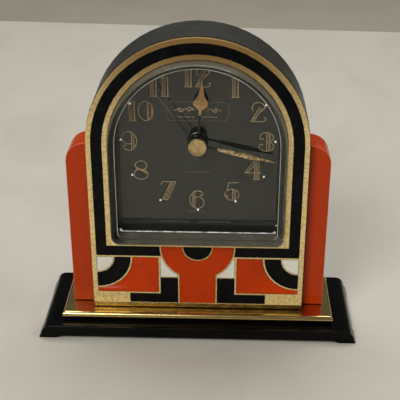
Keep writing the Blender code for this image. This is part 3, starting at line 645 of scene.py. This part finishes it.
def make_numerals():
    """Twelve inline numerals, each printed a few hundredths of a millimetre proud of the dial."""
    for hour, figures in HOURS.items():
        solid = bmesh.new()
        rise = PRINT_RISE
        for figure, x, z in figures:
            lines, patches = GLYPHS[figure]()
            for points, width in lines:
                rise += PRINT_LAYER
                before = len(solid.faces)
                stroke(solid, [(x + u, z + v) for u, v in points], width, PRINT_FOOT, rise)
                solid.faces.ensure_lookup_table()
                for face in solid.faces[before:]:
                    face.material_index = 1 if width > BROAD else 0
            for patch in patches:
                rise += PRINT_LAYER
                before = len(solid.faces)
                slab(solid, [(x + u, z + v) for u, v in patch], PRINT_FOOT, rise)
                solid.faces.ensure_lookup_table()
                for face in solid.faces[before:]:
                    face.material_index = 1
        add_piece(f"numeral_{hour}", solid, ["numeral_gold", "numeral_fill"], "case")


DOT_CIRCLE, DOT_RADIUS, DOT_TOP = 26.2, 0.36, 0.045
SCROLL_Z = 11.2

# Rows of dashes as (their numbers, pitch, start, end, height from the centre, width), in millimetres.
DASH_ROWS = [
    (range(-5, 6), 0.78, -0.52, -0.1, -11.7, 0.5),
    (range(-5, 6), 0.58, -0.5, -0.14, -26.8, 0.36),
    ([n for n in range(-13, 14) if abs(n) > 1], 0.93, -1.45, -0.95, -30.95, 0.34),
]


def make_dial_prints():
    """The hour dots, the lined cartouche with a scroll in it, and small dashes in place of lettering."""
    dots = bmesh.new()
    for hour in range(1, 13):
        a = math.radians(30 * hour)
        x, z = DOT_CIRCLE * math.sin(a), DOT_CIRCLE * math.cos(a)
        slab(dots, oval(x, z, DOT_RADIUS, DOT_RADIUS, 0, 345, 23), PRINT_FOOT, DOT_TOP)
    add_piece("hour_dots", dots, "dot_white", "case")

    lines = bmesh.new()
    left, right, low, high, corner = -10.5, 10.3, 7.2, 13.9, 1.7
    frame_line = (
        oval(right - corner, high - corner, corner, corner, 90, 0, 6)
        + oval(right - corner, low + corner, corner, corner, 0, -90, 6)
        + oval(left + corner, low + corner, corner, corner, 270, 180, 6)
        + oval(left + corner, high - corner, corner, corner, 180, 90, 6)
    )
    stroke(lines, frame_line, HAIR, PRINT_FOOT, PRINT_RISE, closed=True)
    for places, pitch, start, end, z, width in DASH_ROWS:
        for n in places:
            stroke(lines, [(pitch * n + start, z), (pitch * n + end, z)], width, PRINT_FOOT, PRINT_TOP)
    add_piece("cartouche", lines, "line_gold", "case")

    scroll = bmesh.new()
    rise = PRINT_RISE
    for side in (-1, 1):
        for start, flip in ((1.6, 1), (4.6, -1)):
            curl = []
            for i in range(15):
                t = i / 14
                angle = math.radians(200 - 330 * t)
                radius = 1.05 * (1 - 0.62 * t)
                across, up = radius * math.cos(angle), flip * radius * math.sin(angle)
                curl.append((side * (start + 1.2 + across), SCROLL_Z + up))
            rise += PRINT_LAYER
            stroke(scroll, curl, 0.2, PRINT_FOOT, rise)
        wave = [(side * (1.2 + 6.6 * i / 16), SCROLL_Z + 0.4 * math.sin(i * 1.1)) for i in range(17)]
        rise += PRINT_LAYER
        stroke(scroll, wave, 0.17, PRINT_FOOT, rise)
        for i in range(6):
            x = side * (1.5 + 0.95 * i)
            slab(scroll, [(x - 0.3, 8.6), (x, 8.35), (x + 0.3, 8.6), (x, 8.85)], PRINT_FOOT, PRINT_TOP)
    add_piece("cartouche_scroll", scroll, "script_gold", "case")


# ---------------------------------------------------------------- hands

def hand_profile(node, halves, angle, paints, split, ridge, hub):
    """A pressed hand: its outline drawn at twelve, turned clockwise, with a raised middle line."""
    low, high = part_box(node)
    back, front = high.y, low.y
    a = math.radians(angle)

    def place(x, z, y):
        turned_x = x * math.cos(a) + z * math.sin(a)
        turned_z = z * math.cos(a) - x * math.sin(a)
        return Vector((CENTRE.x + turned_x * MM, y, CENTRE.z + turned_z * MM))

    solid = bmesh.new()
    rings = []
    for half, z in halves:
        crown = front - ridge * MM * min(1.0, half / 0.8)
        edge = front + 0.04 * MM
        ring = [
            place(-half, z, back), place(-half, z, edge), place(-0.45 * half, z, (crown + edge) / 2 - 0.01 * MM),
            place(0, z, crown), place(0.45 * half, z, (crown + edge) / 2 - 0.01 * MM), place(half, z, edge),
            place(half, z, back),
        ]
        rings.append((z, [solid.verts.new(p) for p in ring]))
    for (z0, here), (z1, there) in zip(rings, rings[1:]):
        for i in range(len(here)):
            j = (i + 1) % len(here)
            face = solid.faces.new((here[i], here[j], there[j], there[i]))
            face.material_index = 0 if (z0 + z1) / 2 > split else 1
    solid.faces.new(rings[0][1][::-1]).material_index = 1
    solid.faces.new(rings[-1][1])
    disc = bmesh.new()
    circle = oval(0, 0, hub, hub, 0, 345, 23)
    lower = [disc.verts.new(place(x, z, back)) for x, z in circle]
    upper = [disc.verts.new(place(x, z, front)) for x, z in circle]
    disc.faces.new(lower[::-1]).material_index = 1
    disc.faces.new(upper).material_index = 1
    for i in range(len(circle)):
        j = (i + 1) % len(circle)
        disc.faces.new((lower[i], lower[j], upper[j], upper[i])).material_index = 2
    bmesh.ops.recalc_face_normals(disc, faces=disc.faces)
    bmesh.ops.recalc_face_normals(solid, faces=solid.faces)
    joined = bpy.data.meshes.new("joined")
    disc.to_mesh(joined)
    disc.free()
    solid.from_mesh(joined)
    bpy.data.meshes.remove(joined)
    add_piece(node + "_pressed", solid, paints, BODY_OF[node], [node], 50.0)


def turned(name, node, profile, paints, kinds):
    """A part turned on a lathe about the arbor: (radius, depth behind the node's front) pairs in millimetres."""
    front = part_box(node)[0].y
    solid = bmesh.new()
    loops = [
        [
            solid.verts.new((CENTRE.x + x * MM, front + depth * MM, CENTRE.z + z * MM))
            for x, z in oval(0, 0, radius, radius, 0, 352.5, 47)
        ]
        for radius, depth in profile
    ]
    for kind, here, there in zip(kinds, loops, loops[1:]):
        for i in range(len(here)):
            j = (i + 1) % len(here)
            solid.faces.new((here[i], here[j], there[j], there[i])).material_index = kind
    if profile[0] != profile[-1]:
        solid.faces.new(loops[0])
        solid.faces.new(loops[-1][::-1])
    bmesh.ops.remove_doubles(solid, verts=solid.verts, dist=0.0005 * MM)
    bmesh.ops.recalc_face_normals(solid, faces=solid.faces)
    add_piece(name, solid, paints, BODY_OF[node], [node], 30.0)


def make_turned_parts():
    """The cap over the arbors, with its raised rim, and the round nut that holds the movement."""
    cap = [
        (0.4, 0.16), (1.8, 0.14), (2.55, 0.13), (2.72, 0.04), (2.86, 0.0), (2.98, 0.04), (3.1, 0.18), (3.1, 0.85),
        (2.95, 1.0), (0.4, 1.0),
    ]
    turned("hand_cap_turned", "hand_cap", cap, ["cap_gold"], [0] * 9)
    nut = [
        (2.75, 1.0), (2.75, 0.1), (2.85, 0.0), (3.25, 0.0), (3.5, 0.22), (3.55, 0.4), (3.55, 1.0), (2.75, 1.0),
    ]
    turned("bush_ring_nut", "bush_nut", nut, ["hand_black", "dark_steel"], [0, 0, 0, 1, 0, 0, 0])


def curve_through(points, steps=6):
    """Smooth (half width, reach) pairs through the given ones."""
    result = []
    count = len(points)
    for i in range(count - 1):
        p0, p1 = Vector(points[max(0, i - 1)]), Vector(points[i])
        p2, p3 = Vector(points[i + 1]), Vector(points[min(count - 1, i + 2)])
        for k in range(steps):
            t = k / steps
            p = 0.5 * (2 * p1 + (p2 - p0) * t + (2 * p0 - 5 * p1 + 4 * p2 - p3) * t * t
                       + (3 * p1 - p0 - 3 * p2 + p3) * t ** 3)
            result.append((max(0.03, p.x), p.y))
    result.append(points[-1])
    return result


def rest_angle(node):
    """How far a hand points clockwise from twelve, from its farthest corner."""
    mesh = NODES[node].data
    tip = max((v.co for v in mesh.vertices), key=lambda co: (co.x - CENTRE.x) ** 2 + (co.z - CENTRE.z) ** 2)
    return math.degrees(math.atan2(tip.x - CENTRE.x, tip.z - CENTRE.z))


def make_hands():
    """The three hands, from (half width, reach) pairs in millimetres from hub to tip."""
    hour = curve_through([
        (0.36, 1.0), (0.36, 6.0), (0.38, 10.2), (0.42, 11.6), (0.75, 12.3), (1.75, 13.0), (2.42, 13.9), (2.3, 14.9),
        (1.75, 15.9), (1.12, 17.0), (0.80, 18.2), (0.58, 19.6), (0.36, 21.0), (0.05, 22.3),
    ], 4)
    hand_profile("hour_hand", hour, rest_angle("hour_hand"), ["rose_gold", "hand_black", "steel"], 10.0, 0.22, 2.7)
    minute = curve_through([
        (0.32, 1.0), (0.32, 6.4), (0.45, 7.2), (0.62, 9.0), (0.70, 11.0), (0.80, 14.0), (0.88, 17.0), (0.76, 19.5),
        (0.50, 21.3), (0.34, 23.0), (0.30, 25.0), (0.05, 27.0),
    ], 4)
    hand_profile(
        "minute_hand", minute, rest_angle("minute_hand"), ["hammered_gold", "hand_black", "steel"], 6.9, 0.20, 2.1)
    second = [(0.15, -5.0), (0.15, 0.0), (0.15, 12.0), (0.15, 21.0), (0.04, 22.6)]
    hand_profile(
        "second_hand", second, rest_angle("second_hand"), ["line_gold", "hand_black", "steel"], 12.0, 0.02, 1.2)


# ---------------------------------------------------------------- enamel

POCKET_GAP = 0.17     # how far each fill grows to meet its pocket's walls
ENAMEL_RIM = 0.16     # the width over which the surface is drawn up at the brass
ENAMEL_DISH = 0.03    # how far the middle lies behind the rim
ENAMEL_DEPTH = 0.5


def make_enamels():
    """Each enamel fill grown to its pocket's walls, with its surface drawn up at the brass."""
    for node in [n for n in NODES if n.startswith("enamel_")]:
        solid = node_solid(node)
        front = min(v.co.y for v in solid.verts)
        faces = [f for f in solid.faces if f.normal.y < -0.9]
        bmesh.ops.inset_region(solid, faces=faces, thickness=-POCKET_GAP * MM, use_even_offset=True)
        bmesh.ops.delete(solid, geom=[f for f in solid.faces if f.normal.y > -0.9], context="FACES")
        bmesh.ops.delete(solid, geom=[v for v in solid.verts if not v.link_faces], context="VERTS")
        bmesh.ops.inset_region(solid, faces=solid.faces[:], thickness=ENAMEL_RIM * MM, use_even_offset=True)
        for vert in solid.verts:
            if any(edge.is_boundary for edge in vert.link_edges):
                vert.co.y = front
            else:
                vert.co.y = front + ENAMEL_DISH * MM
        skirt = bmesh.ops.extrude_edge_only(solid, edges=[e for e in solid.edges if e.is_boundary])
        for item in skirt["geom"]:
            if isinstance(item, bmesh.types.BMVert):
                item.co.y = front + ENAMEL_DEPTH * MM
        bmesh.ops.holes_fill(solid, edges=[e for e in solid.edges if e.is_boundary], sides=0)
        bmesh.ops.recalc_face_normals(solid, faces=solid.faces)
        add_piece(node + "_fill", solid, SLOT_OF[node], "case", [node], 60.0)


# ---------------------------------------------------------------- crystal

def arch_loop(half, bottom, corner, y, steps=96):
    """A round-topped loop at one depth, in metres, with the same number of points for every size."""
    arch = oval(0, 0, half, half, 0, 180, steps)
    left = oval(-half + corner, bottom + corner, corner, corner, 180, 270, 10)
    right = oval(half - corner, bottom + corner, corner, corner, 270, 360, 10)
    return [Vector((CENTRE.x + x * MM, y, CENTRE.z + z * MM)) for x, z in arch + left + right]


FOOT_ZONE = 5         # how high the crystal's foot reaches, in millimetres


def make_crystal():
    """The crystal: a clear pane with a rounded shoulder, a hollow back, and a flange behind the plate."""
    low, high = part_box("crystal")
    front = low.y
    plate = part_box("face_plate")[0].y
    bottom = (low.z - CENTRE.z) / MM + 1.3
    clear, shoulder, edge, low_edge, inner = 0, 1, 2, 3, 4
    rings = [
        (27.9, 2.3, 1.6, high.y, edge), (29.0, 1.1, 2.2, high.y, shoulder), (31.5, -1.3, 3.3, high.y, shoulder),
        (31.5, -1.3, 3.3, plate + 1.5 * MM, shoulder), (30.1, 0.0, 2.9, plate + 1.5 * MM, shoulder),
        (30.1, 0.0, 2.9, plate - 0.8 * MM, shoulder), (30.05, 0.05, 2.9, plate - 2.0 * MM, shoulder),
        (29.9, 0.3, 2.8, plate - 3.0 * MM, shoulder), (29.7, 0.8, 2.6, plate - 3.6 * MM, shoulder),
        (29.4, 1.3, 2.4, plate - 4.05 * MM, shoulder), (29.05, 1.6, 2.2, front, clear),
    ]
    solid = bmesh.new()
    hollow = [(27.62, 2.55, 1.5, plate - 1.7 * MM), (27.86, 2.35, 1.6, plate - 1.58 * MM)]
    loops = [
        [solid.verts.new(p) for p in arch_loop(half, bottom + up, corner, y)]
        for half, up, corner, y in [ring[:4] for ring in rings] + hollow
    ]
    kinds = [ring[4] for ring in rings]
    count = len(loops[0])
    order = [(i, i + 1, kinds[i + 1]) for i in range(len(rings) - 1)] + [(len(rings), len(rings) + 1, edge)]
    order.append((len(rings) + 1, 0, shoulder))
    for here, there, kind in order:
        for i in range(count):
            j = (i + 1) % count
            quad = (loops[here][i], loops[here][j], loops[there][j], loops[there][i])
            solid.faces.new(quad).material_index = kind
    solid.faces.new(loops[len(rings) - 1]).material_index = clear
    solid.faces.new(loops[len(rings)][::-1]).material_index = inner
    bmesh.ops.recalc_face_normals(solid, faces=solid.faces)
    for face in solid.faces:
        centre = face.calc_center_median()
        if face.material_index != shoulder or centre.z >= low.z + FOOT_ZONE * MM:
            continue
        if face.normal.z < -0.25:
            face.material_index = low_edge
        elif face.normal.z > 0.5:
            face.material_index = inner
    paints = ["crystal", "crystal_shoulder", "crystal_edge", "crystal_low", "crystal_inner"]
    add_piece("crystal_cut", solid, paints, "case", ["crystal"], 28.0)

    # A bright line stands for the light that gathers along the crystal's foot.
    highlight_line = bmesh.new()
    z = -35.35
    points = [(-27.6, z + 1.1), (-27.2, z + 0.35), (-26.4, z)]
    points += [(x, z + 0.10 * math.sin(x * 1.7) * math.sin(x * 0.6)) for x in range(-25, 26)]
    points += [(26.3, z), (27.4, z + 0.8)]
    stroke(highlight_line, points, 0.58, PRINT_FOOT, 0.35)
    add_piece("painted_foot_highlight", highlight_line, "lip_light", "case")


# ---------------------------------------------------------------- studio

LENS, SENSOR = 84.0, 36.0
CAMERA_PLACE = (10.86, -295.21, 195.28)
CAMERA_TARGET = (0.91, -9.8, 51.99)
LIGHT_TINT = (1.0, 0.985, 0.95)
REACH = 3.0           # how far the floor runs to each side and forwards, in metres
SHADE_START = -0.30   # the dark card lies in front of this depth, in metres
SHADE_LIFT = 0.0005


def make_camera():
    data = bpy.data.cameras.new("camera")
    data.lens = LENS
    data.sensor_width = SENSOR
    data.clip_start = 0.01
    camera = bpy.data.objects.new("camera", data)
    camera.location = Vector(CAMERA_PLACE) * MM
    target = Vector(CAMERA_TARGET) * MM
    camera.rotation_euler = (target - camera.location).to_track_quat("-Z", "Y").to_euler()
    bpy.context.scene.collection.objects.link(camera)
    bpy.context.scene.camera = camera


def area_light(name, place, target, size, power, colour):
    data = bpy.data.lights.new(name, "AREA")
    data.shape = "RECTANGLE"
    data.size, data.size_y = size
    data.energy = power
    data.color = colour
    light = bpy.data.objects.new(name, data)
    light.location = place
    light.rotation_euler = (Vector(target) - Vector(place)).to_track_quat("-Z", "Y").to_euler()
    bpy.context.scene.collection.objects.link(light)


def stage_plane(name, corners, paint):
    mesh = bpy.data.meshes.new(name)
    mesh.from_pydata(corners, [], [list(range(len(corners)))])
    mesh.materials.append(paint)
    plane = bpy.data.objects.new(name, mesh)
    bpy.context.scene.collection.objects.link(plane)
    return plane


def make_studio():
    """Floor, far band, three soft lights, and a world that is paler to the eye than as a light."""
    near = Paint("table", (0.50, 0.478, 0.418), 0.6, Specular_IOR_Level=0.25)
    clouds = near.noise(38.0, 6.0, stretch=(1, 0.6, 1), distortion=0.8)
    near.stain(near.ramp(clouds, 0.45, 0.75), (0.455, 0.432, 0.375))
    near.stain(near.ramp(near.noise(9.0, 5.0, offset=4.0), 0.6, 0.8, 0.0, 0.5), (0.42, 0.397, 0.34))
    far = Paint("backdrop", (0.31, 0.285, 0.235), 0.7, Specular_IOR_Level=0.2)
    far.stain(far.ramp(far.noise(60.0, 5.0), 0.45, 0.75), (0.28, 0.255, 0.21))
    dark = Paint("unlit_room", (0.012, 0.012, 0.012), 0.9, Specular_IOR_Level=0.0)
    edge_left, edge_right = Vector((-REACH, 0.577, 0)), Vector((REACH, 0.181, 0))
    stage_plane("table", [(-REACH, -REACH, 0), (REACH, -REACH, 0), edge_right, edge_left], near.material)
    rise = Vector((0, REACH, 0.02))
    stage_plane("backdrop", [edge_left, edge_right, edge_right + rise, edge_left + rise], far.material)
    # A dark card that only reflections see. It stands for an unlit room in front of the clock.
    corners = [(-REACH, -REACH), (REACH, -REACH), (REACH, SHADE_START), (-REACH, SHADE_START)]
    shade = stage_plane("dark_room_in_front", [(x, y, SHADE_LIFT) for x, y in corners], dark.material)
    shade.visible_camera = False
    shade.visible_diffuse = False
    shade.visible_shadow = False
    shade.visible_transmission = False

    area_light("key", (-0.38, -0.74, 0.80), (0, 0, 0.04), (0.42, 0.42), 7.4, LIGHT_TINT)
    area_light("ceiling", (-0.02, 0.32, 0.78), (0, 0, 0.03), (0.80, 0.40), 4.8, LIGHT_TINT)
    area_light("side", (0.75, -0.10, 0.60), (0, 0, 0.05), (0.40, 0.40), 2.2, LIGHT_TINT)
    world = bpy.data.worlds.new("studio")
    bpy.context.scene.world = world
    world.use_nodes = True
    sky = world.node_tree.nodes["Background"]
    sky.inputs["Color"].default_value = (0.80, 0.79, 0.76, 1.0)
    sky.inputs["Strength"].default_value = 0.13
    links, new = world.node_tree.links, world.node_tree.nodes.new
    seen = new("ShaderNodeBackground")
    seen.inputs["Color"].default_value = (0.47, 0.45, 0.41, 1.0)
    path, choice = new("ShaderNodeLightPath"), new("ShaderNodeMixShader")
    links.new(path.outputs["Is Camera Ray"], choice.inputs["Fac"])
    links.new(sky.outputs["Background"], choice.inputs[1])
    links.new(seen.outputs["Background"], choice.inputs[2])
    links.new(choice.outputs["Shader"], world.node_tree.nodes["World Output"].inputs["Surface"])


# ---------------------------------------------------------------- the clock

# Visible nodes as (paint or face and edge paints, edge width in millimetres, steps round the edge).
ROUNDED = {
    "base": (["black_lacquer", "lacquer_edge_wear_and_highlight"], 0.32, 3),
    "plinth_plate": ("polished_brass", 0.12, 2),
    "sill_strip": ("shaded_sill_brass", 0.18, 3),
    "wing_left": (["red_lacquer", "red_edge_wear_and_highlight"], 0.32, 3),
    "wing_right": (["red_lacquer", "red_edge_wear_and_highlight"], 0.32, 3),
    "case_shell": ("charcoal", 0.25, 2),
    "back_cover": ("black_plastic", 0.15, 2),
    "face_plate": (["satin_brass", "brass_edge_highlight"], 0.09, 2),
    "movement_cover": ("black_plastic", 0.2, 2),
    "battery_hatch": ("black_plastic", 0.2, 2),
    "set_knob": ("black_plastic", 0.06, 1),
    "centre_bush": ("dark_steel", 0.1, 2),
    "dial_ring": ("ring_grey", 0.08, 2),
}
for number in range(1, 5):
    ROUNDED[f"cover_screw_{number}"] = ("steel", 0.12, 2)
    ROUNDED[f"base_screw_{number}"] = ("steel", 0.15, 2)

# Nodes that keep their CAD shape and take a finish.
INSIDE = {
    "dial": "dial_black", "movement_housing": "black_plastic", "train_plate": "white_plastic",
    "rear_bridge": "steel", "stator": "steel", "coil": "copper", "circuit_board": "board_green",
    "quartz_can": "steel", "battery": "steel", "contact_negative": "bush_brass",
    "contact_positive": "bush_brass", "rotor": "black_plastic", "fifth_wheel": "white_plastic",
    "second_wheel": "steel", "third_wheel": "white_plastic", "centre_wheel": "bush_brass",
    "cannon_pinion": "bush_brass", "minute_wheel": "white_plastic", "hour_wheel": "white_plastic",
    "set_pinion": "white_plastic",
}

make_camera()
for rounded, (paint, width, segments) in ROUNDED.items():
    softened(rounded, paint, width, segments)
for inside, paint in INSIDE.items():
    repaint(inside, paint)
make_enamels()
make_crystal()
make_numerals()
make_dial_prints()
make_hands()
make_turned_parts()
make_studio()
bpy.context.scene.view_settings.view_transform = "Standard"
